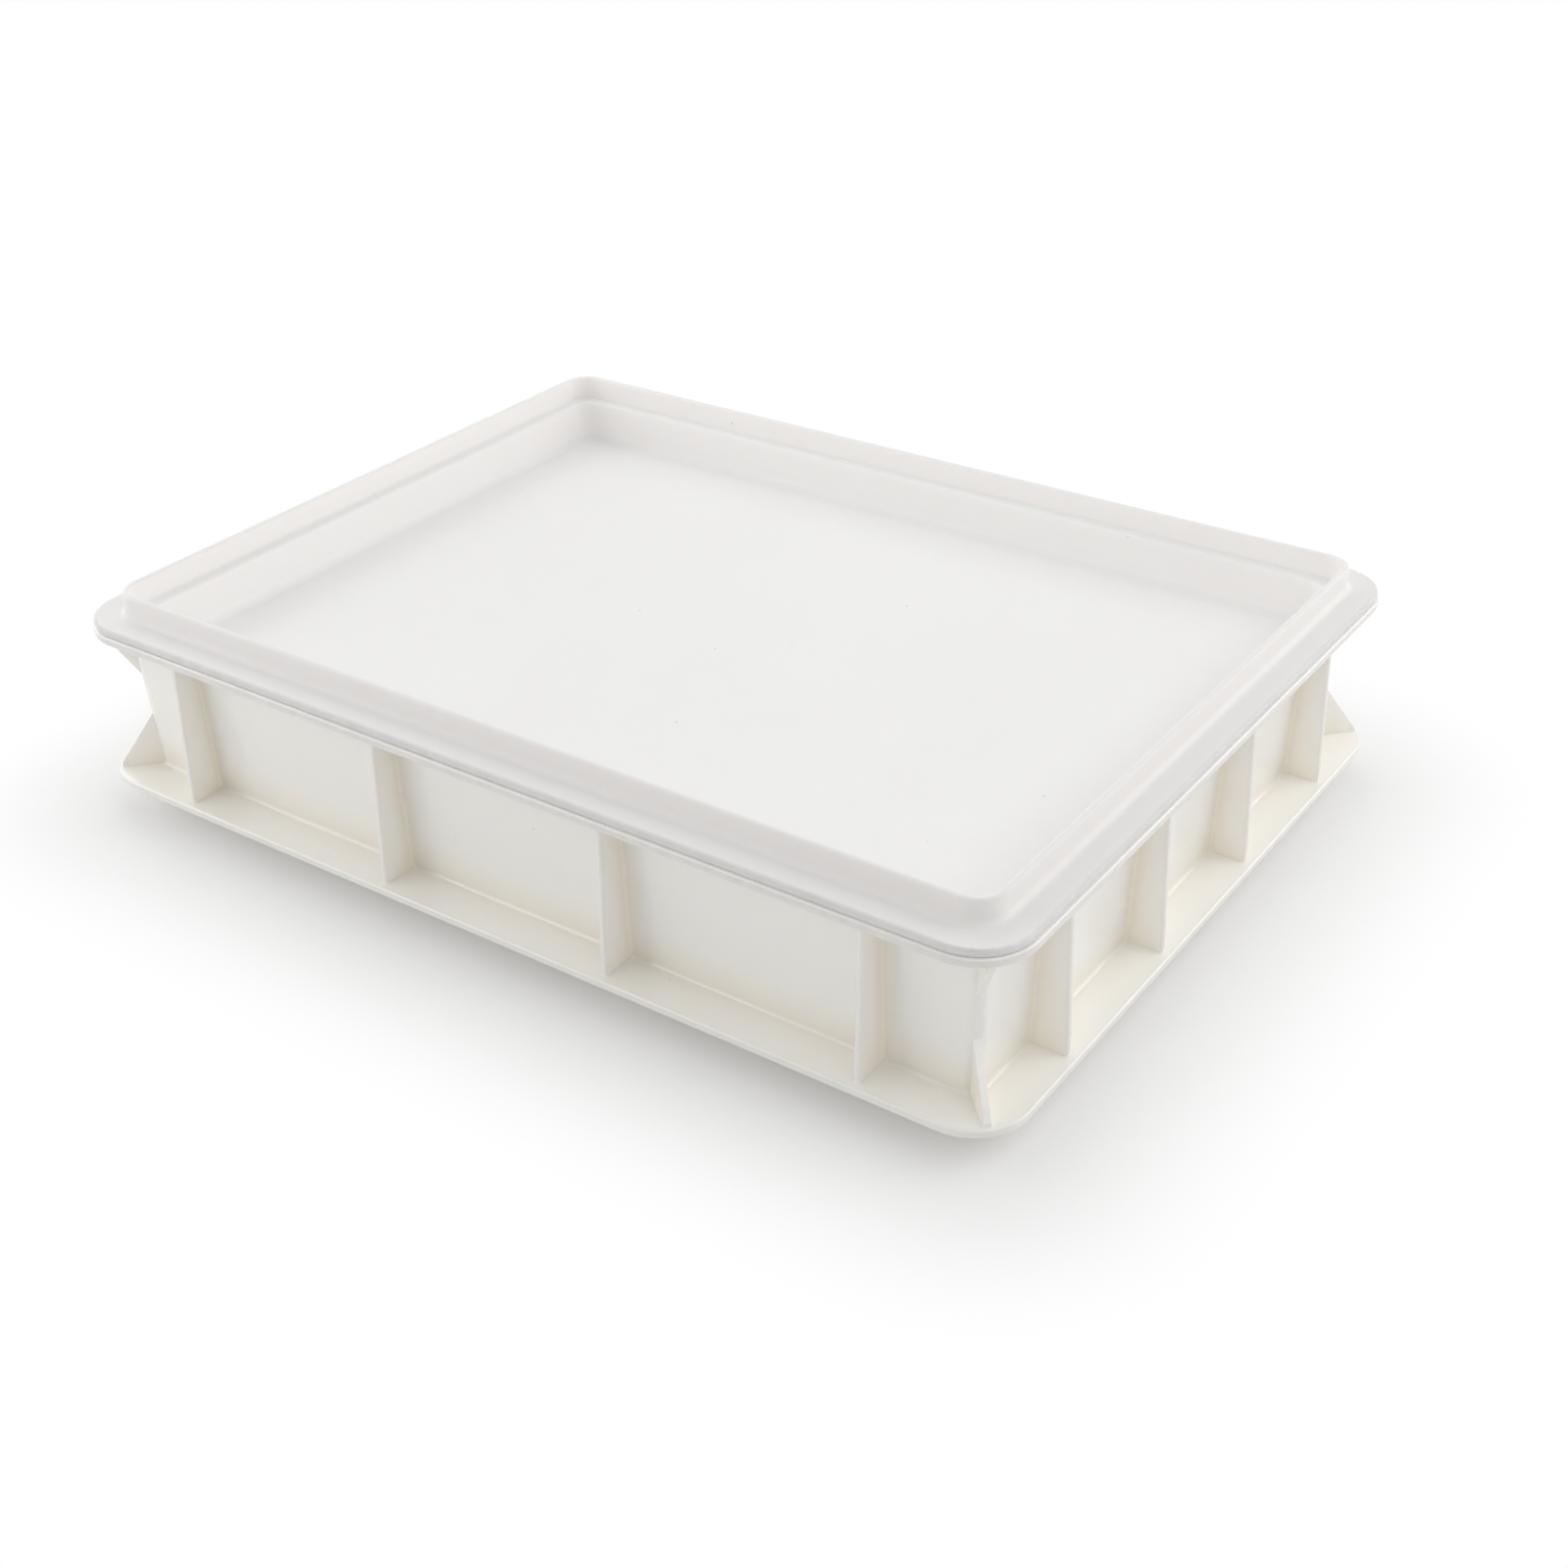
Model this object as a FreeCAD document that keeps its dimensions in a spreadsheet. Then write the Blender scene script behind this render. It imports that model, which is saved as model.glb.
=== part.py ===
import FreeCAD, Part
import math
import os
import re
import Sketcher

# Stacking dough box: a ribbed tub with a lift-off lid. Millimetres, +Z up.
# The origin is the middle of the box's footprint, on the table under its foot.

doc = FreeCAD.newDocument("DoughBox")

# Driving sizes: alias, value, meaning
SIZES = (
    ("length", 400, "base flange along X"),
    ("width", 300, "base flange along Y"),
    ("corner_radius", 20.7, "corners of the base flange, the rim and the lid"),
    ("foot_height", 12.7, "table to the underside of the base flange"),
    ("base_flange_thickness", 3.2, "base flange"),
    ("container_height", 77.6, "table to the top of the rim"),
    ("rim_inset", 0.8, "rim, in from the base flange's outline"),
    ("rim_thickness", 3.2, "rim flange of the container"),
    ("mouth_inset", 13.9, "tub wall's outside, in from the base flange's outline, at the mouth"),
    ("foot_inset", 17.5, "tub wall's outside, in from the base flange's outline, at the table"),
    ("tub_radius", 5.5, "tub wall's corners, outside"),
    ("wall_thickness", 2.2, "tub wall"),
    ("floor_thickness", 2.4, "tub floor"),
    ("floor_radius", 2.6, "rounding between the tub's floor and walls, inside"),
    ("foot_edge_radius", 1, "rounding of the foot's lower edge, outside"),
    ("flange_root_radius", 1.5, "rounding where the flanges leave the tub wall"),
    ("flange_edge_radius", 0.8, "rounding of the flanges' outer edges"),
    ("mouth_edge_radius", 0.8, "rounding of the mouth's inner edge"),
    ("rib_thickness", 2.4, "upright ribs"),
    ("rib_foot_inset", 2.9, "rib's outer edge at the base flange, in from the base flange's outline"),
    ("rib_top_inset", 4.9, "rib's outer edge at the rim, in from the base flange's outline"),
    ("rib_end_distance", 51, "end rib's middle, in from the base flange's end"),
    ("ribs_per_side", 4, "ribs on each side"),
    ("rib_edge_radius", 0.9, "rounding of the ribs' outer edges"),
    ("gusset_thickness", 2.4, "corner gussets"),
    ("low_gusset_height", 22, "lower gusset, above the base flange"),
    ("low_gusset_toe", 1.5, "lower gusset's outer end, above the base flange"),
    ("low_gusset_margin", 1.3, "lower gusset's outer end, in from the base flange's corner"),
    ("high_gusset_height", 19, "upper gusset, below the rim"),
    ("high_gusset_margin", 1.5, "upper gusset's outer end, in from the rim's corner"),
    ("lid_edge_inset", 1.3, "lid, in from the base flange's outline"),
    ("lid_flange_thickness", 3.2, "lid flange and ledge"),
    ("lid_under_radius", 1.3, "rounding of the lid flange's lower edge"),
    ("collar_inset", 12.4, "collar's outside, in from the base flange's outline"),
    ("collar_radius", 10.5, "collar's corners, outside"),
    ("collar_thickness", 2.6, "stacking collar"),
    ("collar_height", 9.2, "stacking collar, above the lid flange"),
    ("collar_edge_share", 0.46, "rounding of the collar's top edges, as a share of its thickness"),
    ("collar_root_radius", 2.5, "rounding at the collar's outer root"),
    ("ledge_root_radius", 1.2, "rounding at the collar's inner root"),
    ("ledge_edge_radius", 1.2, "rounding of the ledge's inner edge"),
    ("plug_clearance", 2.3, "gap between the tub's mouth and the lid's tray"),
    ("tray_wall_thickness", 2.2, "walls of the lid's tray"),
    ("tray_floor_thickness", 2.2, "floor of the lid's tray"),
    ("tray_depth", 17.1, "lid's ledge down to the tray's floor"),
    ("tray_draft", 1.1, "how far the tray's walls lean in over its depth"),
    ("tray_radius", 7, "tray's corners at the ledge, inside"),
    ("tray_floor_radius", 4, "rounding between the tray's floor and walls, inside"),
    ("tray_edge_radius", 5.5, "rounding of the tray's lower edge, outside"),
    ("edge_limit_share", 0.42, "largest rounding of an edge, as a share of the flange, rib or ledge"),
    ("match_gap", 0.01, "how near an edge lies to the place where it is looked for"),
)

sheet = doc.addObject("Spreadsheet::Sheet", "Sizes")
for row, (alias, number, meaning) in enumerate(SIZES, 1):
    sheet.set("A%d" % row, meaning)
    sheet.set("B%d" % row, str(number))
    sheet.setAlias("B%d" % row, alias)
doc.recompute()


def bound(text):
    """Expression with every size's alias turned into a reference to its cell."""
    aliases = "|".join(alias for alias, number, meaning in SIZES)
    return re.sub(r"\b(%s)\b" % aliases, r"Sizes.\1", text)


def value(text):
    """Number that an expression in the sizes comes to."""
    return float(sheet.evalExpression(bound(text)))


# Levels above the table
BASE_TOP = "(foot_height + base_flange_thickness)"
RIM_UNDER = "(container_height - rim_thickness)"
LEDGE = "(container_height + lid_flange_thickness)"
COLLAR_TOP = "(container_height + lid_flange_thickness + collar_height)"
TRAY_FLOOR = "(container_height + lid_flange_thickness - tray_depth)"
TRAY_UNDER = "(container_height + lid_flange_thickness - tray_depth - tray_floor_thickness)"

# Distances in from the base flange's outline
MOUTH_INNER = "(mouth_inset + wall_thickness)"
FOOT_INNER = "(foot_inset + wall_thickness)"
COLLAR_INNER = "(collar_inset + collar_thickness)"
PLUG = "(mouth_inset + wall_thickness + plug_clearance)"
TRAY = "(mouth_inset + wall_thickness + plug_clearance + tray_wall_thickness)"
LEDGE_WIDTH = "(%s - %s)" % (TRAY, COLLAR_INNER)

# Corner centres, in from the base flange's outline
BASE_CENTRE = "corner_radius"
RIM_CENTRE = "(rim_inset + corner_radius)"
FOOT_CENTRE = "(foot_inset + tub_radius)"
MOUTH_CENTRE = "(mouth_inset + tub_radius)"
COLLAR_CENTRE = "(collar_inset + collar_radius)"
TRAY_CENTRE = "(%s + tray_radius)" % TRAY

# Corner points on a corner's bisector, out from the rim's corner centre
BASE_CORNER = "(sqrt(2) * rim_inset + corner_radius)"
RIM_CORNER = "corner_radius"

# Roundings that a thin wall limits
LIMITED = "min(%s ; edge_limit_share * %s)"
BASE_EDGE = LIMITED % ("flange_edge_radius", "base_flange_thickness")
RIM_EDGE = LIMITED % ("flange_edge_radius", "rim_thickness")
LID_EDGE = LIMITED % ("flange_edge_radius", "lid_flange_thickness")
LID_UNDER = LIMITED % ("lid_under_radius", "lid_flange_thickness")
RIB_EDGE = LIMITED % ("rib_edge_radius", "rib_thickness")
LEDGE_ROOT = LIMITED % ("ledge_root_radius", LEDGE_WIDTH)
LEDGE_EDGE = LIMITED % ("ledge_edge_radius", LEDGE_WIDTH)
COLLAR_EDGE = "collar_edge_share * collar_thickness"


def new_body(name):
    """Empty body whose label names the sub-part."""
    body = doc.addObject("PartDesign::Body", name.capitalize())
    body.Label = name
    return body


def origin_feature(body, role):
    """One of the body's own origin planes or axes."""
    return next(item for item in body.Origin.OriginFeatures if item.Role == role)


def new_sketch(body, name, plane, offsets):
    """Sketch on an origin plane, shifted along the plane's own axes by the named offsets."""
    sketch = body.newObject("Sketcher::SketchObject", name)
    sketch.AttachmentSupport = (origin_feature(body, plane), "")
    sketch.MapMode = "FlatFace"
    for axis, text in offsets.items():
        sketch.setExpression("AttachmentOffset.Base." + axis, bound(text))
    return sketch


def constrain(sketch, name, kind, places, text):
    """Driving constraint whose number follows the sizes."""
    index = sketch.addConstraint(Sketcher.Constraint(kind, *places, value(text)))
    sketch.renameConstraint(index, name)
    sketch.setExpression("Constraints." + name, bound(text))


def outline(body, name, centre, inset, level):
    """Rounded rectangle, inset from the base flange's outline, with its corner centres where centre says."""
    sketch = new_sketch(body, name, "XY_Plane", {"z": level})
    long_text = "length - 2 * " + inset
    wide_text = "width - 2 * " + inset
    radius_text = centre + " - " + inset
    half_x = value(long_text) / 2
    half_y = value(wide_text) / 2
    radius = value(radius_text)
    corners = ((1, -1), (1, 1), (-1, 1), (-1, -1))
    for turn, (side_x, side_y) in enumerate(corners):
        middle = FreeCAD.Vector(side_x * (half_x - radius), side_y * (half_y - radius), 0)
        start = math.radians(90 * turn - 90)
        circle = Part.Circle(middle, FreeCAD.Vector(0, 0, 1), radius)
        sketch.addGeometry(Part.ArcOfCircle(circle, start, start + math.pi / 2))
    for turn in range(4):
        first = sketch.Geometry[turn].EndPoint
        last = sketch.Geometry[(turn + 1) % 4].StartPoint
        sketch.addGeometry(Part.LineSegment(first, last))
    for turn in range(4):
        sketch.addConstraint(Sketcher.Constraint("Tangent", turn, 2, 4 + turn, 1))
        sketch.addConstraint(Sketcher.Constraint("Tangent", 4 + turn, 2, (turn + 1) % 4, 1))
    for line in (4, 6):
        sketch.addConstraint(Sketcher.Constraint("Vertical", line))
    for line in (5, 7):
        sketch.addConstraint(Sketcher.Constraint("Horizontal", line))
    for arc in (1, 2, 3):
        sketch.addConstraint(Sketcher.Constraint("Equal", 0, arc))
    sketch.addConstraint(Sketcher.Constraint("Symmetric", 4, 1, 6, 1, -1, 1))
    constrain(sketch, "Long", "DistanceX", (6, 1, 4, 1), long_text)
    constrain(sketch, "Wide", "DistanceY", (7, 1, 5, 1), wide_text)
    constrain(sketch, "Round", "Radius", (0,), radius_text)
    return sketch


def polygon(sketch, label, corners):
    """Closed straight-sided profile through corners given as texts."""
    first = sketch.GeometryCount
    points = [FreeCAD.Vector(value(across), value(up), 0) for across, up in corners]
    count = len(points)
    for side, start in enumerate(points):
        sketch.addGeometry(Part.LineSegment(start, points[(side + 1) % count]))
    for side, (across, up) in enumerate(corners):
        place = first + side
        after = first + (side + 1) % count
        sketch.addConstraint(Sketcher.Constraint("Coincident", place, 2, after, 1))
        constrain(sketch, "%sAcross%d" % (label, side), "DistanceX", (-1, 1, place, 1), across)
        constrain(sketch, "%sUp%d" % (label, side), "DistanceY", (-1, 1, place, 1), up)


def pad(body, name, sketch, length, symmetric=False):
    """Straight addition of a sketch, upwards or evenly to both sides."""
    feature = body.newObject("PartDesign::Pad", name)
    feature.Profile = sketch
    feature.SideType = "Symmetric" if symmetric else "One side"
    feature.setExpression("Length", bound(length))
    doc.recompute()
    return feature


def pocket(body, name, sketch, length):
    """Straight cut down from a sketch."""
    feature = body.newObject("PartDesign::Pocket", name)
    feature.Profile = sketch
    feature.setExpression("Length", bound(length))
    doc.recompute()
    return feature


def loft(body, kind, name, low, high):
    """Addition or cut between two outlines."""
    feature = body.newObject("PartDesign::" + kind, name)
    feature.Profile = low
    feature.Sections = [high]
    feature.Ruled = True
    doc.recompute()
    return feature


def front_edges(feature, places):
    """Names of the edges along X on the front side, at the given insets and levels."""
    gap = value("match_gap")
    wanted = [(value(inset + " - width / 2"), value(level)) for inset, level in places]
    names = []
    for number, edge in enumerate(feature.Shape.Edges, 1):
        box = edge.BoundBox
        if box.YLength > gap or box.ZLength > gap:
            continue
        if any(abs(box.YMin - y) < gap and abs(box.ZMin - z) < gap for y, z in wanted):
            names.append("Edge%d" % number)
    return names


def fillet(body, name, edges, radius):
    """Rounding of edges of the body's last feature; it follows the smooth run of each edge."""
    feature = body.newObject("PartDesign::Fillet", name)
    feature.Base = (feature.BaseFeature, edges)
    feature.setExpression("Radius", bound(radius))
    doc.recompute()
    return feature


def tub_inset(level):
    """Distance of the tub wall's outside from the base flange's outline at a level."""
    return "(foot_inset + (mouth_inset - foot_inset) * " + level + " / container_height)"


def tub_corner(level):
    """Tub wall's corner on a corner's bisector at a level, out from the rim's corner centre."""
    return "(sqrt(2) * (%s - %s - tub_radius) + tub_radius)" % (RIM_CENTRE, tub_inset(level))


def make_walls(body):
    """Solid tub with its two flanges, and the roundings that run all the way round."""
    low = outline(body, "TubFoot", FOOT_CENTRE, "foot_inset", "0")
    high = outline(body, "TubMouth", MOUTH_CENTRE, "mouth_inset", "container_height")
    loft(body, "AdditiveLoft", "Tub", low, high)
    base = outline(body, "BaseOutline", BASE_CENTRE, "0", "foot_height")
    pad(body, "BaseFlange", base, "base_flange_thickness")
    rim = outline(body, "RimOutline", RIM_CENTRE, "rim_inset", RIM_UNDER)
    flanges = pad(body, "RimFlange", rim, "rim_thickness")
    roots = [(tub_inset(level), level) for level in ("foot_height", BASE_TOP, RIM_UNDER)]
    rounded = fillet(body, "FlangeRoots", front_edges(flanges, roots), "flange_root_radius")
    edges = [("0", level) for level in ("foot_height", BASE_TOP)]
    rounded = fillet(body, "BaseEdges", front_edges(rounded, edges), BASE_EDGE)
    edges = [("rim_inset", level) for level in (RIM_UNDER, "container_height")]
    rounded = fillet(body, "RimEdges", front_edges(rounded, edges), RIM_EDGE)
    fillet(body, "FootEdge", front_edges(rounded, [("foot_inset", "0")]), "foot_edge_radius")


def make_ribs(body, name, plane, start, axis, across, along):
    """Upright ribs on two facing sides: plates right across the tub, from flange to flange."""
    sketch = new_sketch(body, name + "Profile", plane, {"z": start})
    foot = "(%s / 2 - rib_foot_inset)" % across
    top = "(%s / 2 - rib_top_inset)" % across
    corners = (("-1 * " + foot, BASE_TOP), (foot, BASE_TOP), (top, RIM_UNDER), ("-1 * " + top, RIM_UNDER))
    polygon(sketch, "Rib", corners)
    plate = pad(body, name, sketch, "rib_thickness", symmetric=True)
    pattern = body.newObject("PartDesign::LinearPattern", name + "Row")
    pattern.Originals = [plate]
    pattern.Direction = (origin_feature(body, axis), [""])
    pattern.Mode = "Extent"
    pattern.setExpression("Length", bound("%s - 2 * rib_end_distance" % along))
    pattern.setExpression("Occurrences", bound("ribs_per_side"))
    body.Tip = pattern
    doc.recompute()


def make_gussets(body):
    """Plate on the bisector of each corner: a brace up from the base flange and one down from the rim."""
    low_end = "(%s - low_gusset_margin)" % BASE_CORNER
    low_toe = "(%s + low_gusset_toe)" % BASE_TOP
    low_top = "(%s + low_gusset_height)" % BASE_TOP
    high_end = "(%s - high_gusset_margin)" % RIM_CORNER
    high_low = "(%s - high_gusset_height)" % RIM_UNDER
    low = (("0", BASE_TOP), (low_end, BASE_TOP), (low_end, low_toe), (tub_corner(low_top), low_top),
           ("0", low_top))
    high = (("0", RIM_UNDER), (high_end, RIM_UNDER), (tub_corner(high_low), high_low), ("0", high_low))
    for number, (side_x, side_y) in enumerate(((1, -1), (1, 1), (-1, 1), (-1, -1))):
        centre = {"x": "%d * (length / 2 - %s)" % (side_x, RIM_CENTRE),
                  "z": "%d * (width / 2 - %s)" % (-side_y, RIM_CENTRE)}
        sketch = new_sketch(body, "Gusset%dProfile" % number, "XZ_Plane", centre)
        turn = math.degrees(math.atan2(side_y, side_x))
        sketch.AttachmentOffset.Rotation = FreeCAD.Rotation(FreeCAD.Vector(0, 1, 0), turn)
        polygon(sketch, "Low", low)
        polygon(sketch, "High", high)
        pad(body, "Gusset%d" % number, sketch, "gusset_thickness", symmetric=True)


def rib_edges(feature):
    """Names of the ribs' long outer edges: from flange to flange, leaning with the ribs' outer ends."""
    gap = value("match_gap")
    height = value(RIM_UNDER + " - " + BASE_TOP)
    lean = abs(value("rib_top_inset - rib_foot_inset"))
    names = []
    for number, edge in enumerate(feature.Shape.Edges, 1):
        box = edge.BoundBox
        spread = sorted((box.XLength, box.YLength))
        if abs(box.ZLength - height) < gap and spread[0] < gap and abs(spread[1] - lean) < gap:
            names.append("Edge%d" % number)
    return names


def make_container():
    """Tub, flanges, ribs and gussets as one moulding, hollowed from the mouth."""
    body = new_body("container")
    make_walls(body)
    # The XZ plane faces -Y, so its offsets run the other way
    make_ribs(body, "LongRibs", "YZ_Plane", "rib_end_distance - length / 2", "X_Axis", "width", "length")
    make_ribs(body, "ShortRibs", "XZ_Plane", "width / 2 - rib_end_distance", "Y_Axis", "length", "width")
    make_gussets(body)
    low = outline(body, "CavityFloor", FOOT_CENTRE, FOOT_INNER, "floor_thickness")
    high = outline(body, "CavityMouth", MOUTH_CENTRE, MOUTH_INNER, "container_height")
    hollow = loft(body, "SubtractiveLoft", "Cavity", low, high)
    ribs = fillet(body, "RibEdges", rib_edges(hollow), RIB_EDGE)
    floor = fillet(body, "FloorEdge", front_edges(ribs, [(FOOT_INNER, "floor_thickness")]), "floor_radius")
    fillet(body, "MouthEdge", front_edges(floor, [(MOUTH_INNER, "container_height")]), "mouth_edge_radius")
    return body


def make_lid():
    """Flange that lies on the rim, stacking collar, ledge inside it and a tray that plugs the mouth."""
    body = new_body("lid")
    flange = outline(body, "FlangeOutline", RIM_CENTRE, "lid_edge_inset", "container_height")
    pad(body, "Flange", flange, "lid_flange_thickness")
    collar = outline(body, "CollarOutline", COLLAR_CENTRE, "collar_inset", LEDGE)
    pad(body, "Collar", collar, "collar_height")
    low = outline(body, "TrayUnderside", TRAY_CENTRE, "(%s + tray_draft)" % PLUG, TRAY_UNDER)
    high = outline(body, "TrayNeck", TRAY_CENTRE, PLUG, "container_height")
    loft(body, "AdditiveLoft", "Tray", low, high)
    seat = outline(body, "SeatOutline", COLLAR_CENTRE, COLLAR_INNER, COLLAR_TOP)
    pocket(body, "Seat", seat, "collar_height")
    low = outline(body, "TrayFloor", TRAY_CENTRE, "(%s + tray_draft)" % TRAY, TRAY_FLOOR)
    high = outline(body, "TrayMouth", TRAY_CENTRE, TRAY, LEDGE)
    step = loft(body, "SubtractiveLoft", "Hollow", low, high)
    step = fillet(body, "FlangeEdge", front_edges(step, [("lid_edge_inset", LEDGE)]), LID_EDGE)
    lower = [("lid_edge_inset", "container_height")]
    step = fillet(body, "FlangeUnder", front_edges(step, lower), LID_UNDER)
    upper = [(inset, COLLAR_TOP) for inset in ("collar_inset", COLLAR_INNER)]
    step = fillet(body, "CollarEdges", front_edges(step, upper), COLLAR_EDGE)
    step = fillet(body, "CollarRoot", front_edges(step, [("collar_inset", LEDGE)]), "collar_root_radius")
    step = fillet(body, "LedgeRoot", front_edges(step, [(COLLAR_INNER, LEDGE)]), LEDGE_ROOT)
    step = fillet(body, "LedgeEdge", front_edges(step, [(TRAY, LEDGE)]), LEDGE_EDGE)
    floor = [("(%s + tray_draft)" % TRAY, TRAY_FLOOR)]
    step = fillet(body, "TrayFloorEdge", front_edges(step, floor), "tray_floor_radius")
    under = [("(%s + tray_draft)" % PLUG, TRAY_UNDER)]
    fillet(body, "TrayEdge", front_edges(step, under), "tray_edge_radius")
    return body


bodies = [make_container(), make_lid()]
doc.recompute()

for item in doc.Objects:
    if "Invalid" in item.State or "Error" in item.State:
        raise RuntimeError("%s failed: %s" % (item.Name, item.State))
for body in bodies:
    shape = body.Shape
    if shape.isNull() or not shape.isValid() or len(shape.Solids) != 1:
        raise RuntimeError(body.Label + " is not one sound solid")

os.makedirs("parts", exist_ok=True)
for body in bodies:
    body.Shape.exportStep("parts/%s.step" % body.Label)
    box = body.Shape.BoundBox
    print(body.Label, "%.1f cm3" % (body.Shape.Volume / 1000), "z %.2f to %.2f" % (box.ZMin, box.ZMax))
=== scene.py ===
import math

import bpy
from mathutils import Matrix, Vector


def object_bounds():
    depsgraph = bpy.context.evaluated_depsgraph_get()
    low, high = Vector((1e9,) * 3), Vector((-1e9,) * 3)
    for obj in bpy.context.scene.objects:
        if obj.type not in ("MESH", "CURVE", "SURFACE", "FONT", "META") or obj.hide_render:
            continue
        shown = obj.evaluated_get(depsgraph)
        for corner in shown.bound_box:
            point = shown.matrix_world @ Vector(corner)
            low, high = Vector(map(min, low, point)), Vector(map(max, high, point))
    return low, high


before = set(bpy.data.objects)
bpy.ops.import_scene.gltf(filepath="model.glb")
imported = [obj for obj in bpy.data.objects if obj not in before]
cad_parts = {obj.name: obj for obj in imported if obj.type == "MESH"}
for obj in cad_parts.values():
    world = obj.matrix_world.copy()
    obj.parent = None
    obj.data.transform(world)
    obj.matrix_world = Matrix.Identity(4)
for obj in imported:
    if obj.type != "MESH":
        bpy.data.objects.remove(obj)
cad_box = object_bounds()

# Camera, from the photograph's perspective: pixels, degrees and metres
PHOTO_SIDE = 1599
FOCAL_PIXELS = 2137.4
SENSOR_MM = 36.0
AZIMUTH = 35.227
ELEVATION = 31.097
ROLL = -0.971
DISTANCE = 0.82078
AIM_HEIGHT = 0.0127
AIM_RIGHT = 0.01654
AIM_UP = -0.01153

# Floor, backdrop and light: metres, watts and shares of white
FLOOR_HALF = 4.0
FLOOR_COLOUR = (0.93, 0.93, 0.93, 1.0)
FADE_START = -0.030
FADE_END = 0.075
WHITE = (1.0, 1.0, 1.0, 1.0)
AMBIENT = 0.29
LAMP_SIDE = 0.95
LAMP_AIM = (0.0, 0.0, 0.05)
LAMPS = (
    # name, place, watts
    ("lamp_left", (-1.066, 0.0, 0.481), 2.9),
    ("lamp_front_left", (-0.754, -0.754, 0.481), 4.05),
    ("lamp_front_right", (0.754, -0.754, 0.481), 1.4),
    ("lamp_right", (0.708, 0.0, 0.956), 3.0),
    ("lamp_back_right", (0.754, 0.754, 0.481), 4.4),
    ("lamp_back_left", (-0.501, 0.501, 0.956), 3.0),
)

# The CAD's sizes that the masks are measured from: metres, with insets from the base flange's outline
HALF_LENGTH = cad_box[1].x
HALF_WIDTH = cad_box[1].y
CORNER_RADIUS = 0.0207
FOOT_HEIGHT = 0.0127
FLANGE_THICKNESS = 0.0032
CONTAINER_HEIGHT = 0.0776
BASE_TOP = FOOT_HEIGHT + FLANGE_THICKNESS
RIM_UNDER = CONTAINER_HEIGHT - FLANGE_THICKNESS
RIM_INSET = 0.0008
WALL_INSET_FOOT = 0.0175
WALL_INSET_MOUTH = 0.0139
RIBS_PER_SIDE = 4
RIB_END_DISTANCE = 0.051
RIB_SPACING_X = 2 * (HALF_LENGTH - RIB_END_DISTANCE) / (RIBS_PER_SIDE - 1)
RIB_SPACING_Y = 2 * (HALF_WIDTH - RIB_END_DISTANCE) / (RIBS_PER_SIDE - 1)
RIB_THICKNESS = 0.0024
RIB_INSET_FOOT = 0.0029
RIB_INSET_TOP = 0.0049
LID_EDGE_INSET = 0.0013
COLLAR_CORNER_OUTSIDE = 0.0133
COLLAR_SIDE_INSIDE = 0.0150

# How far the scuffs and painted shade on edges, the painted shade in creases and the painted highlight along
# them reach: metres
EDGE_REACH = 0.0017
EDGE_ROUND = 0.0009
FOOT_REACH = 0.0170
RIM_REACH = 0.0050
RIB_REACH = 0.0080
RIB_MARGIN = 0.0007
HIGHLIGHT_CORE = 0.0003
HIGHLIGHT_RIM = 0.0010

# How strongly each tint shows, from 0 to 1, the painted shade and painted light among them
LOW_EDGE_SHARE = 0.40
LEVEL_CREASE_SHADE = 0.25
STEEP_CREASE_SHADE = 0.75
LID_OUTSIDE_SHADE_SHARE = 0.68
CLOUD_SHARE = 0.30
PAINTED_UPRIGHT_LIGHT_SHARE = 0.80
LEAST_WEAR_AND_SHADE = 0.60
MOST_WEAR_AND_SHADE = 0.80

# Tints of one piece alone: painted shade in the container's creases and a painted highlight along them, and
# painted shade on the lid outside its collar
CREASE_SHADE_COLOUR = (0.930, 0.868, 0.765, 1.0)
FILLET_HIGHLIGHT_COLOUR = (0.985, 0.950, 0.840, 1.0)
LID_OUTSIDE_SHADE_COLOUR = (0.866, 0.843, 0.832, 1.0)

# How far a face's normal points up or down where the face counts as level and as upright
LEVEL_LEAN = 0.7
UPRIGHT_LEAN = 0.2

# Patterns: scale per metre, detail, and the lowest and highest noise that counts
TONE = (11.0, 3.0, 0.32, 0.68)
CLOUDS = (75.0, 2.0, 0.25, 0.75)
SCUFFS = (170.0, 4.0, 0.30, 0.70)
SHEEN = (48.0, 4.0, 0.30, 0.70)

# Specks: cells per metre, and a speck's dark core and faded rim as shares of a cell
SPECK_SCALE = 57.0
SPECK_CORE = 0.010
SPECK_RIM = 0.020

# Reliefs: scale per metre, detail, depth in metres, strength
WAVES = (15.0, 2.0, 0.00035, 0.4)
GRAIN = (1900.0, 2.0, 0.000012, 0.6)

# Plastic: roughness added on scuffed edges and dull places, and light in the material
WEAR_ROUGHNESS = 0.05
DULL_ROUGHNESS = 0.08
PLASTIC_IOR = 1.52
SUBSURFACE = 0.12
SUBSURFACE_SCALE = 0.004
SUBSURFACE_RADIUS = (1.0, 0.72, 0.5)


def add_node(tree, kind, settings=None, inputs=None):
    """New shader node with its settings, and its inputs set to values or joined to other nodes' outputs."""
    made = tree.nodes.new("ShaderNode" + kind)
    for name, setting in (settings or {}).items():
        setattr(made, name, setting)
    for name, entry in (inputs or {}).items():
        if isinstance(entry, bpy.types.NodeSocket):
            tree.links.new(entry, made.inputs[name])
        else:
            made.inputs[name].default_value = entry
    return made


def calc(tree, operation, first, second=0.0):
    """Result of a Math node."""
    return add_node(tree, "Math", {"operation": operation}, {0: first, 1: second}).outputs[0]


def vector_calc(tree, operation, first, second=(0.0, 0.0, 0.0)):
    """Result of a Vector Math node, a number for LENGTH and a vector otherwise."""
    made = add_node(tree, "VectorMath", {"operation": operation}, {0: first, 1: second})
    return made.outputs["Value" if operation == "LENGTH" else "Vector"]


def split(tree, vector):
    """A vector's three numbers."""
    return add_node(tree, "SeparateXYZ", None, {0: vector}).outputs


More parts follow.
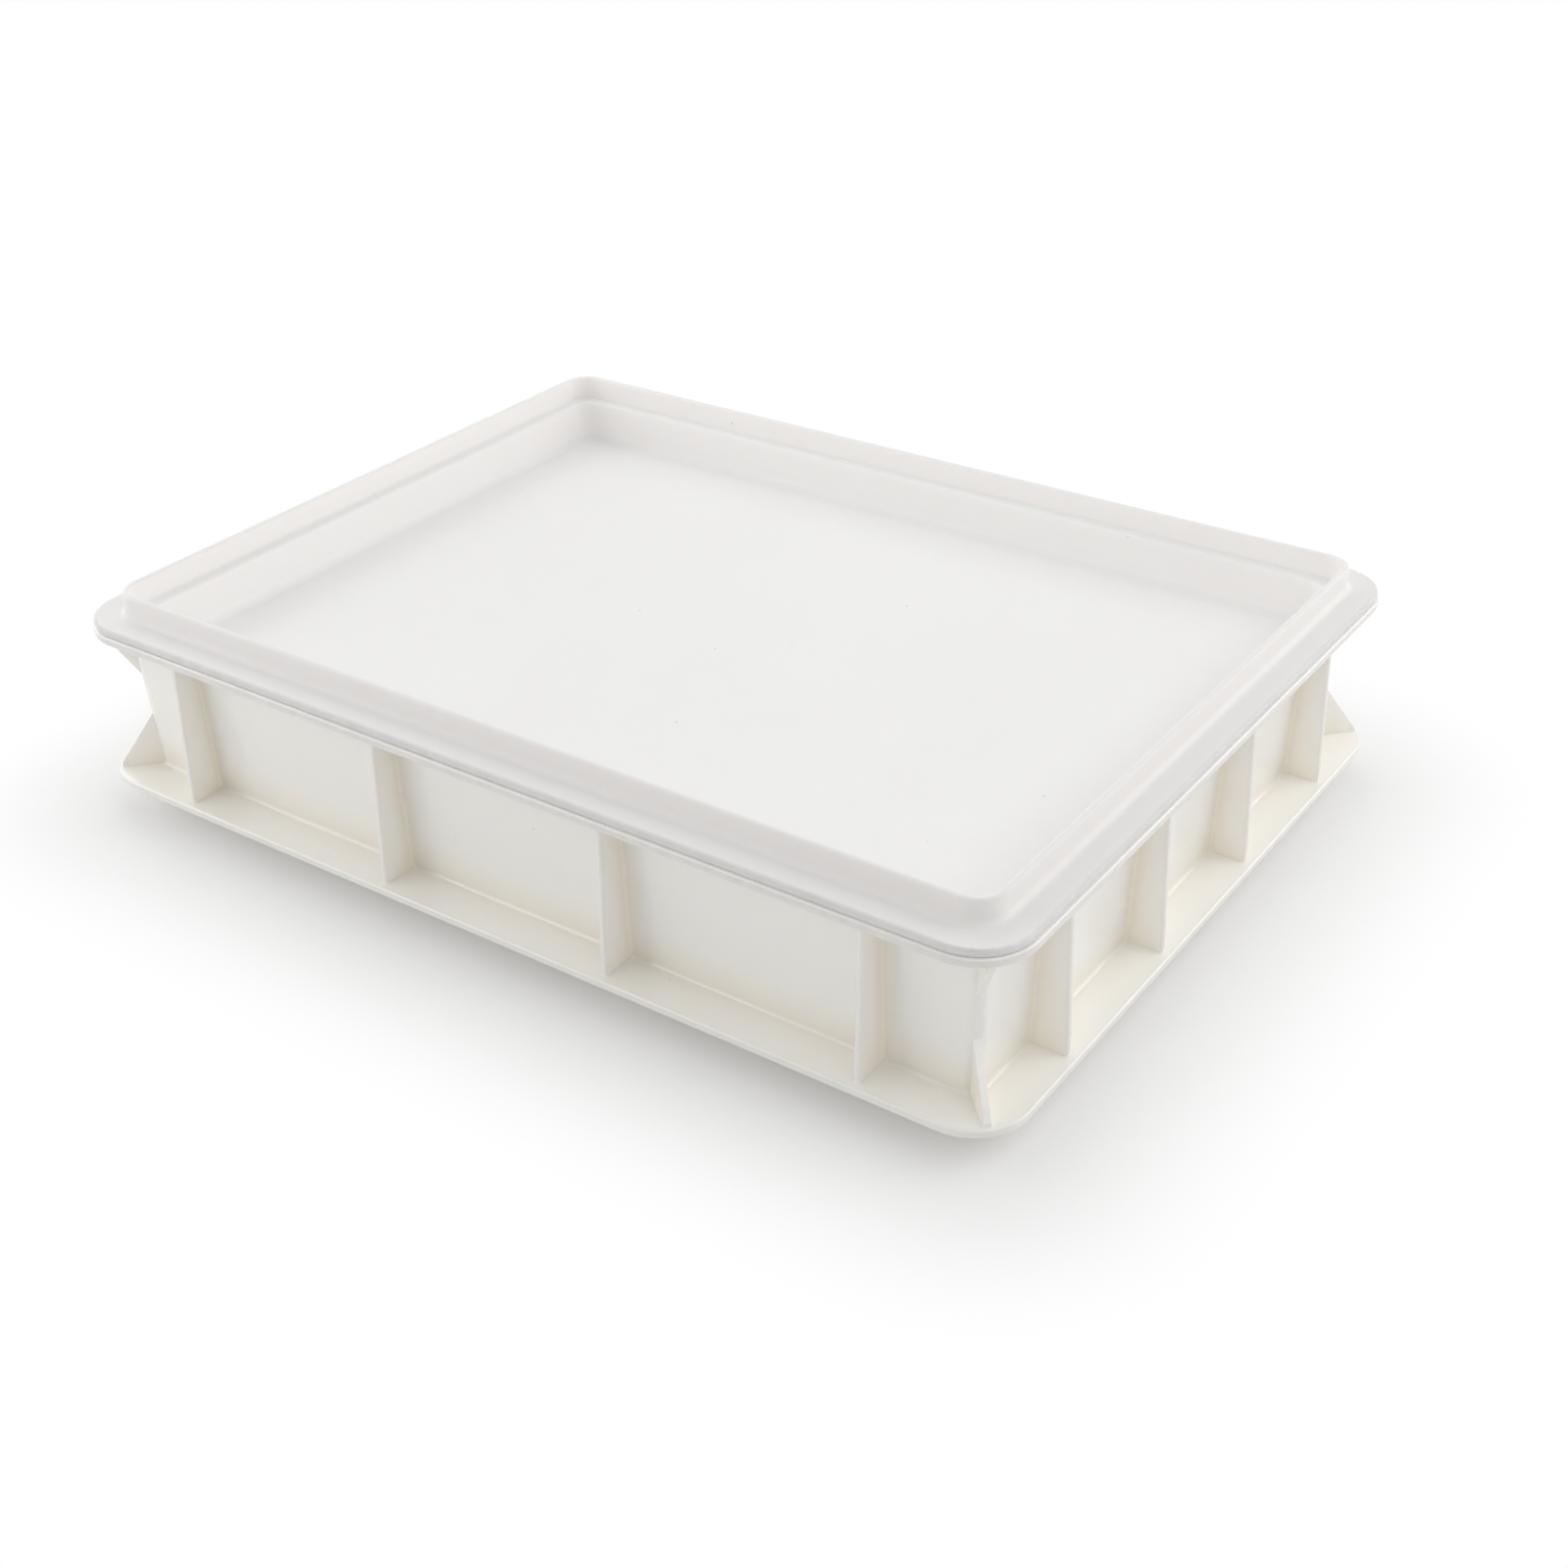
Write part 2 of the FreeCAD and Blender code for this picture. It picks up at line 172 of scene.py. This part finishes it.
def fade(tree, value, low, high, start=0.0, end=1.0, kind="SMOOTHSTEP"):
    """Value taken from the range low to high into the range start to end."""
    limits = {"From Min": low, "From Max": high, "To Min": start, "To Max": end}
    return add_node(tree, "MapRange", {"interpolation_type": kind}, {"Value": value, **limits}).outputs[0]


def pick(tree, share, first, second):
    """Number between two numbers."""
    return add_node(tree, "Mix", {"data_type": "FLOAT"}, {0: share, 2: first, 3: second}).outputs[0]


def tint(tree, share, first, second):
    """Colour between two colours."""
    return add_node(tree, "Mix", {"data_type": "RGBA"}, {0: share, 6: first, 7: second}).outputs[2]


def noise(tree, place, scale, detail):
    """Fractal noise from 0 to 1."""
    return add_node(tree, "TexNoise", None, {"Vector": place, "Scale": scale, "Detail": detail}).outputs[0]


def pattern(tree, place, kind, start=0.0, end=1.0):
    """Noise of one of the patterns, taken into the range start to end."""
    scale, detail, low, high = kind
    return fade(tree, noise(tree, place, scale, detail), low, high, start, end)


def relief(tree, place, kind, under=None):
    """Normal of a surface with one of the reliefs, on top of the normal under it."""
    scale, detail, depth, strength = kind
    inputs = {"Strength": strength, "Distance": depth, "Height": noise(tree, place, scale, detail)}
    if under is not None:
        inputs["Normal"] = under
    return add_node(tree, "Bump", None, inputs).outputs[0]


def steepness(tree):
    """0 on level faces and 1 on upright ones."""
    up = split(tree, add_node(tree, "NewGeometry").outputs["Normal"])[2]
    return fade(tree, calc(tree, "ABSOLUTE", up), LEVEL_LEAN, UPRIGHT_LEAN)


def from_line(tree, across, up):
    """Distance from a line that the surface runs along, from the distances to it on two axes."""
    return vector_calc(tree, "LENGTH", add_node(tree, "CombineXYZ", None, {0: across, 1: up}).outputs[0])


def inset_from_outline(tree, place):
    """Distance inside the base flange's outline, and 1 where a long side is nearer than a short one."""
    flat = vector_calc(tree, "MULTIPLY", place, (1.0, 1.0, 0.0))
    middle = (HALF_LENGTH - CORNER_RADIUS, HALF_WIDTH - CORNER_RADIUS, 0.0)
    past = vector_calc(tree, "SUBTRACT", vector_calc(tree, "ABSOLUTE", flat), middle)
    outside = vector_calc(tree, "LENGTH", vector_calc(tree, "MAXIMUM", past))
    past_x, past_y = split(tree, past)[0:2]
    inside = calc(tree, "MINIMUM", calc(tree, "MAXIMUM", past_x, past_y), 0.0)
    inset = calc(tree, "SUBTRACT", CORNER_RADIUS, calc(tree, "ADD", outside, inside))
    return inset, calc(tree, "GREATER_THAN", past_y, past_x)


def seen_directly(tree):
    """1 for rays that show the backdrop: from the camera, or by way of gloss or glass."""
    path = add_node(tree, "LightPath").outputs
    share = path["Is Camera Ray"]
    for name in ("Is Glossy Ray", "Is Transmission Ray"):
        share = calc(tree, "MAXIMUM", share, path[name])
    return share


def make_world():
    """Even soft light all round, seen as plain white."""
    world = bpy.data.worlds.new("studio")
    bpy.context.scene.world = world
    world.use_nodes = True
    tree = world.node_tree
    tree.nodes.clear()
    strength = fade(tree, seen_directly(tree), 0.0, 1.0, AMBIENT, 1.0, "LINEAR")
    light = add_node(tree, "Background", None, {"Color": WHITE, "Strength": strength}).outputs[0]
    add_node(tree, "OutputWorld", None, {"Surface": light})


def make_floor():
    """White floor that takes the object's shadow and fades into the white backdrop."""
    mesh = bpy.data.meshes.new("floor")
    corners = [(x * FLOOR_HALF, y * FLOOR_HALF, 0.0) for x, y in ((-1, -1), (1, -1), (1, 1), (-1, 1))]
    mesh.from_pydata(corners, [], [(0, 1, 2, 3)])
    floor = bpy.data.objects.new("floor", mesh)
    bpy.context.scene.collection.objects.link(floor)
    material = bpy.data.materials.new("floor")
    material.use_nodes = True
    tree = material.node_tree
    tree.nodes.clear()
    place = add_node(tree, "NewGeometry").outputs["Position"]
    away = calc(tree, "MULTIPLY", inset_from_outline(tree, place)[0], -1.0)
    share = calc(tree, "MULTIPLY", fade(tree, away, FADE_START, FADE_END), seen_directly(tree))
    matt = add_node(tree, "BsdfDiffuse", None, {"Color": FLOOR_COLOUR}).outputs[0]
    glow = add_node(tree, "Emission", None, {"Color": WHITE, "Strength": 1.0}).outputs[0]
    mixed = add_node(tree, "MixShader", None, {0: share, 1: matt, 2: glow}).outputs[0]
    add_node(tree, "OutputMaterial", None, {"Surface": mixed})
    mesh.materials.append(material)


def place_camera():
    """Camera at the photograph's own viewpoint, with its roll."""
    turn, tilt, roll = (math.radians(angle) for angle in (AZIMUTH, ELEVATION, ROLL))
    right = Vector((math.cos(turn), math.sin(turn), 0.0))
    back = Vector((math.sin(turn) * math.cos(tilt), -math.cos(turn) * math.cos(tilt), math.sin(tilt)))
    up = back.cross(right)
    across = right * math.cos(roll) + up * math.sin(roll)
    upward = up * math.cos(roll) - right * math.sin(roll)
    place = Vector((0.0, 0.0, AIM_HEIGHT)) + back * DISTANCE + across * AIM_RIGHT + upward * AIM_UP
    data = bpy.data.cameras.new("camera")
    data.sensor_width = SENSOR_MM
    data.lens = SENSOR_MM * FOCAL_PIXELS / PHOTO_SIDE
    camera = bpy.data.objects.new("camera", data)
    camera.matrix_world = Matrix.Translation(place) @ Matrix((across, upward, back)).transposed().to_4x4()
    bpy.context.scene.collection.objects.link(camera)
    bpy.context.scene.camera = camera


def place_lamps():
    """Ring of soft square lamps."""
    for name, place, watts in LAMPS:
        data = bpy.data.lights.new(name, "AREA")
        data.shape = "SQUARE"
        data.size = LAMP_SIDE
        data.energy = watts
        lamp = bpy.data.objects.new(name, data)
        lamp.location = place
        lamp.rotation_euler = (Vector(LAMP_AIM) - Vector(place)).to_track_quat("-Z", "Y").to_euler()
        lamp.visible_camera = False
        bpy.context.scene.collection.objects.link(lamp)


def container_edge(tree, height, inset, among_ribs):
    """Share of scuffing and painted shade on an outer edge: fully along the rim, less on the ribs and the
    base flange.
    """
    at_rim = calc(tree, "GREATER_THAN", height, RIM_UNDER - RIB_MARGIN)
    rim_inset = calc(tree, "MULTIPLY", at_rim, RIM_INSET)
    rib_inset = fade(tree, height, BASE_TOP, RIM_UNDER, RIB_INSET_FOOT, RIB_INSET_TOP, "LINEAR")
    depth = calc(tree, "SUBTRACT", inset, pick(tree, among_ribs, rim_inset, rib_inset))
    above_under = fade(tree, height, RIM_UNDER, RIM_UNDER + EDGE_ROUND)
    below_top = fade(tree, height, CONTAINER_HEIGHT, CONTAINER_HEIGHT - EDGE_ROUND)
    band = calc(tree, "MULTIPLY", above_under, below_top)
    share = fade(tree, band, 0.0, 1.0, LOW_EDGE_SHARE, 1.0)
    return calc(tree, "MULTIPLY", fade(tree, depth, EDGE_REACH, 0.0), share)


def beside_rib(tree, x, y, long_side):
    """Distance along the wall from the nearest rib's side."""
    gaps = []
    for axis, spacing in ((x, RIB_SPACING_X), (y, RIB_SPACING_Y)):
        gaps.append(calc(tree, "PINGPONG", calc(tree, "SUBTRACT", axis, spacing / 2), spacing / 2))
    gap = pick(tree, long_side, gaps[1], gaps[0])
    return calc(tree, "MAXIMUM", calc(tree, "SUBTRACT", gap, RIB_THICKNESS / 2), 0.0)


def paint_container(tree, place, colour):
    """Colour with painted shade in the creases of wall, ribs and flanges and a painted highlight along them,
    the share of scuffing and painted shade on edges, and how dull the surface is.
    """
    x, y, height = split(tree, place)
    inset, long_side = inset_from_outline(tree, place)
    above_base = calc(tree, "GREATER_THAN", height, BASE_TOP + RIB_MARGIN)
    below_rim = calc(tree, "LESS_THAN", height, RIM_UNDER - RIB_MARGIN)
    among_ribs = calc(tree, "MULTIPLY", above_base, below_rim)
    edge = container_edge(tree, height, inset, among_ribs)

    wall_inset = fade(tree, height, 0.0, CONTAINER_HEIGHT, WALL_INSET_FOOT, WALL_INSET_MOUTH, "LINEAR")
    to_wall = calc(tree, "SUBTRACT", inset, wall_inset)
    outside = calc(tree, "LESS_THAN", to_wall, RIB_MARGIN)
    root = from_line(tree, beside_rib(tree, x, y, long_side), to_wall)
    foot = from_line(tree, calc(tree, "SUBTRACT", height, BASE_TOP), to_wall)
    joint = from_line(tree, calc(tree, "SUBTRACT", height, RIM_UNDER), to_wall)

    # Painted shade: the colour is darkened and warmed in the creases at the rib roots, the wall's foot and
    # under the rim
    crease_shade = calc(tree, "MULTIPLY", fade(tree, root, RIB_REACH, 0.0), among_ribs)
    for distance, reach in ((foot, FOOT_REACH), (joint, RIM_REACH)):
        crease_shade = calc(tree, "MAXIMUM", crease_shade, fade(tree, distance, reach, 0.0))
    share = fade(tree, steepness(tree), 0.0, 1.0, LEVEL_CREASE_SHADE, STEEP_CREASE_SHADE)
    crease_shade = calc(tree, "MULTIPLY", calc(tree, "MULTIPLY", crease_shade, share), outside)
    colour = tint(tree, crease_shade, colour, CREASE_SHADE_COLOUR)

    # Painted highlight: a light line along the rib roots and the wall's foot, standing for light on a
    # moulded fillet
    line = calc(tree, "MULTIPLY", fade(tree, root, HIGHLIGHT_RIM, HIGHLIGHT_CORE), among_ribs)
    line = calc(tree, "MAXIMUM", line, fade(tree, foot, HIGHLIGHT_RIM, HIGHLIGHT_CORE))
    colour = tint(tree, calc(tree, "MULTIPLY", line, outside), colour, FILLET_HIGHLIGHT_COLOUR)
    return colour, edge, crease_shade


def paint_lid(tree, place, colour):
    """Colour with painted shade outside the collar, the share of scuffing and painted shade on the flange's
    edge, and how dull the surface is.
    """
    height = split(tree, place)[2]
    inset = inset_from_outline(tree, place)[0]
    at_edge = fade(tree, inset, LID_EDGE_INSET + EDGE_REACH, LID_EDGE_INSET)
    above_under = fade(tree, height, CONTAINER_HEIGHT, CONTAINER_HEIGHT + EDGE_ROUND)
    edge = calc(tree, "MULTIPLY", at_edge, above_under)
    # Painted shade on the flange and on the outside of the collar
    outside_shade = fade(tree, inset, COLLAR_SIDE_INSIDE, COLLAR_CORNER_OUTSIDE, 0.0, LID_OUTSIDE_SHADE_SHARE)
    return tint(tree, outside_shade, colour, LID_OUTSIDE_SHADE_COLOUR), edge, outside_shade


def make_plastic(name, paint, light, dark, upright, wear_and_shade_colour, speck, smooth, rough, gloss):
    """Moulded plastic: clouded tone, painted light on upright faces, scuffed edges with painted shade, a few
    specks, fine grain and slight waves.
    """
    material = bpy.data.materials.new(name)
    material.use_nodes = True
    tree = material.node_tree
    place = add_node(tree, "TexCoord").outputs["Object"]

    colour = tint(tree, pattern(tree, place, TONE), dark, light)
    colour = tint(tree, pattern(tree, place, CLOUDS, 0.0, CLOUD_SHARE), colour, dark)
    # Painted light: upright faces take their own colour, lighter on the lid and darker and warmer on the
    # container
    colour = tint(tree, calc(tree, "MULTIPLY", steepness(tree), PAINTED_UPRIGHT_LIGHT_SHARE), colour, upright)
    colour, edge, dull = paint(tree, place, colour)
    # Scuffs with painted shade: the edge faces of the rim and of the lid's flange are darkened
    wear_and_shade = calc(tree, "MULTIPLY", edge, pattern(tree, place, SCUFFS, LEAST_WEAR_AND_SHADE, MOST_WEAR_AND_SHADE))
    colour = tint(tree, wear_and_shade, colour, wear_and_shade_colour)
    cells = add_node(tree, "TexVoronoi", None, {"Vector": place, "Scale": SPECK_SCALE}).outputs["Distance"]
    colour = tint(tree, fade(tree, cells, SPECK_RIM, SPECK_CORE), colour, speck)

    roughness = pattern(tree, place, SHEEN, smooth, rough)
    roughness = calc(tree, "ADD", roughness, calc(tree, "MULTIPLY", wear_and_shade, WEAR_ROUGHNESS))
    roughness = calc(tree, "ADD", roughness, calc(tree, "MULTIPLY", dull, DULL_ROUGHNESS))
    normal = relief(tree, place, GRAIN, relief(tree, place, WAVES))

    shader = tree.nodes["Principled BSDF"].inputs
    tree.links.new(colour, shader["Base Color"])
    tree.links.new(roughness, shader["Roughness"])
    tree.links.new(normal, shader["Normal"])
    shader["IOR"].default_value = PLASTIC_IOR
    shader["Specular IOR Level"].default_value = gloss
    shader["Subsurface Weight"].default_value = SUBSURFACE
    shader["Subsurface Scale"].default_value = SUBSURFACE_SCALE
    shader["Subsurface Radius"].default_value = SUBSURFACE_RADIUS
    return material


def dress(node_name, material):
    """Gives a CAD node its finish."""
    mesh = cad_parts[node_name].data
    for slot in range(len(mesh.materials)):
        mesh.materials[slot] = material


bpy.context.scene.view_settings.view_transform = "Standard"
place_camera()
place_lamps()
make_world()
make_floor()
dress("container", make_plastic(
    "container_plastic",
    paint_container,
    light=(0.970, 0.954, 0.919, 1.0),
    dark=(0.956, 0.937, 0.894, 1.0),
    upright=(0.953, 0.934, 0.882, 1.0),
    wear_and_shade_colour=(0.740, 0.730, 0.712, 1.0),
    speck=(0.32, 0.28, 0.23, 1.0),
    smooth=0.07,
    rough=0.13,
    gloss=0.7,
))
dress("lid", make_plastic(
    "lid_plastic",
    paint_lid,
    light=(0.947, 0.938, 0.922, 1.0),
    dark=(0.933, 0.923, 0.906, 1.0),
    upright=(0.990, 0.962, 0.948, 1.0),
    wear_and_shade_colour=(0.700, 0.690, 0.685, 1.0),
    speck=(0.30, 0.275, 0.25, 1.0),
    smooth=0.38,
    rough=0.48,
    gloss=0.3,
))
